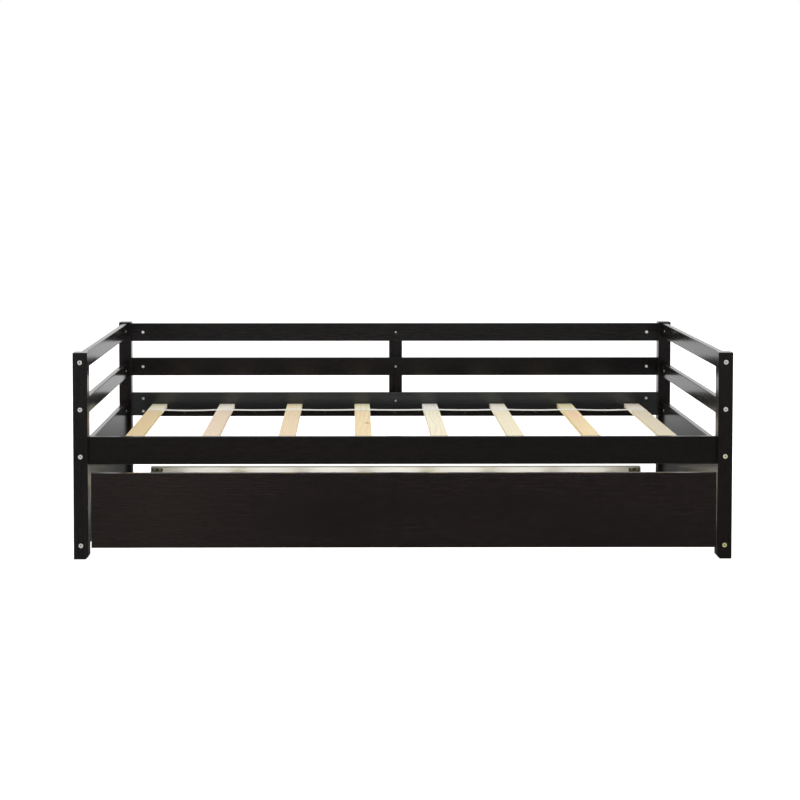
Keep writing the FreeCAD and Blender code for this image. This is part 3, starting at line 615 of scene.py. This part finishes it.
def make_floor():
    """A white floor. The lacquer mirrors it dim near the bed, and brighter far behind and in front of it."""
    mesh = bmesh.new()
    bmesh.ops.create_grid(mesh, x_segments=1, y_segments=1, size=FLOOR_SIZE)
    data = bpy.data.meshes.new("floor")
    mesh.to_mesh(data)
    mesh.free()
    floor = bpy.data.objects.new("floor", data)
    floor.location.z = -FLOOR_DROP
    bpy.context.scene.collection.objects.link(floor)
    shader = Shader("pale_floor")
    mottle = shader.noise(shader.place(), 1.5, 2.0)
    shader.set(Base_Color=shader.mix(mottle, (0.70, 0.70, 0.70, 1), (0.74, 0.74, 0.74, 1)))
    shader.set(Roughness=0.9, Specular_IOR_Level=0.0)
    shader.set(Emission_Color=(1, 1, 1, 1), Emission_Strength=FLOOR_GLOW)
    depth = shader.add("SeparateXYZ", {0: shader.place()}).outputs["Y"]
    behind = shader.spread(depth, *MIRRORED_BEHIND)
    ahead = shader.spread(depth, *MIRRORED_AHEAD)
    level = shader.maths("ADD", shader.maths("ADD", behind, ahead), MIRRORED_NEAR)
    mirrored = shader.add("Emission", {"Strength": level}).outputs[0]
    in_gloss = shader.add("LightPath").outputs["Is Glossy Ray"]
    seen = shader.add("MixShader", {0: in_gloss, 1: shader.surface.outputs[0], 2: mirrored}).outputs[0]
    shader.feed(shader.tree.nodes["Material Output"].inputs["Surface"], seen)
    data.materials.append(shader.material)


# How the surroundings' light grows from the front to the back, over the Y part of its direction
SURROUNDINGS = {"From Min": -0.35, "From Max": 0.35, "To Min": 0.10, "To Max": 1.0}


def make_world():
    """White all round for the camera. The bed is lit from a bright back and a dim front."""
    world = bpy.data.worlds.new("studio")
    world.use_nodes = True
    tree = world.node_tree
    tree.nodes.clear()

    def add(kind, **settings):
        node = tree.nodes.new("ShaderNode" + kind)
        for name, value in settings.items():
            setattr(node, name, value)
        return node

    direction = add("TexCoord")
    parts = add("SeparateXYZ")
    depth = add("MapRange", interpolation_type="SMOOTHSTEP")
    seen = add("Background")
    cast = add("Background")
    path = add("LightPath")
    join = add("MixShader")
    output = add("OutputWorld")
    tree.links.new(direction.outputs["Generated"], parts.inputs[0])
    tree.links.new(parts.outputs["Y"], depth.inputs["Value"])
    for name, value in SURROUNDINGS.items():
        depth.inputs[name].default_value = value
    tree.links.new(depth.outputs["Result"], cast.inputs["Strength"])
    tree.links.new(path.outputs["Is Camera Ray"], join.inputs[0])
    tree.links.new(cast.outputs[0], join.inputs[1])
    tree.links.new(seen.outputs[0], join.inputs[2])
    tree.links.new(join.outputs[0], output.inputs[0])
    for background in (seen, cast):
        background.inputs["Color"].default_value = (1, 1, 1, 1)
    bpy.context.scene.world = world


# Softboxes' places, sizes and powers. All are aimed at the bed's middle.
SOFTBOXES = {
    "top": ((0, 0.2, 4.2), (4.5, 3.0), 80),
    "front_left": ((-3.2, -3.8, 3.2), (2.2, 1.6), 40),
    "front_right": ((3.2, -3.8, 3.2), (2.2, 1.6), 30),
}
BED_MIDDLE = Vector((0, 0, 0.3))


def softbox(name, place, size, power):
    """A large area light aimed at the bed."""
    data = bpy.data.lights.new(name, "AREA")
    data.shape = "RECTANGLE"
    data.size, data.size_y = size
    data.energy = power
    light = bpy.data.objects.new(name, data)
    light.location = place
    light.rotation_euler = (BED_MIDDLE - Vector(place)).to_track_quat("-Z", "Y").to_euler()
    bpy.context.scene.collection.objects.link(light)


def make_camera():
    """The main camera."""
    data = bpy.data.cameras.new("camera")
    data.lens = CAMERA_LENS
    data.sensor_width = CAMERA_SENSOR
    data.shift_x, data.shift_y = CAMERA_SHIFT
    camera = bpy.data.objects.new("camera", data)
    camera.location = CAMERA_PLACE
    camera.rotation_euler = (math.pi / 2 - CAMERA_PITCH, 0, -CAMERA_YAW)
    bpy.context.scene.collection.objects.link(camera)
    bpy.context.scene.camera = camera


make_floor()
make_world()
for name, (place, size, power) in SOFTBOXES.items():
    softbox(name, place, size, power)
make_camera()
bpy.context.scene.view_settings.view_transform = "Standard"
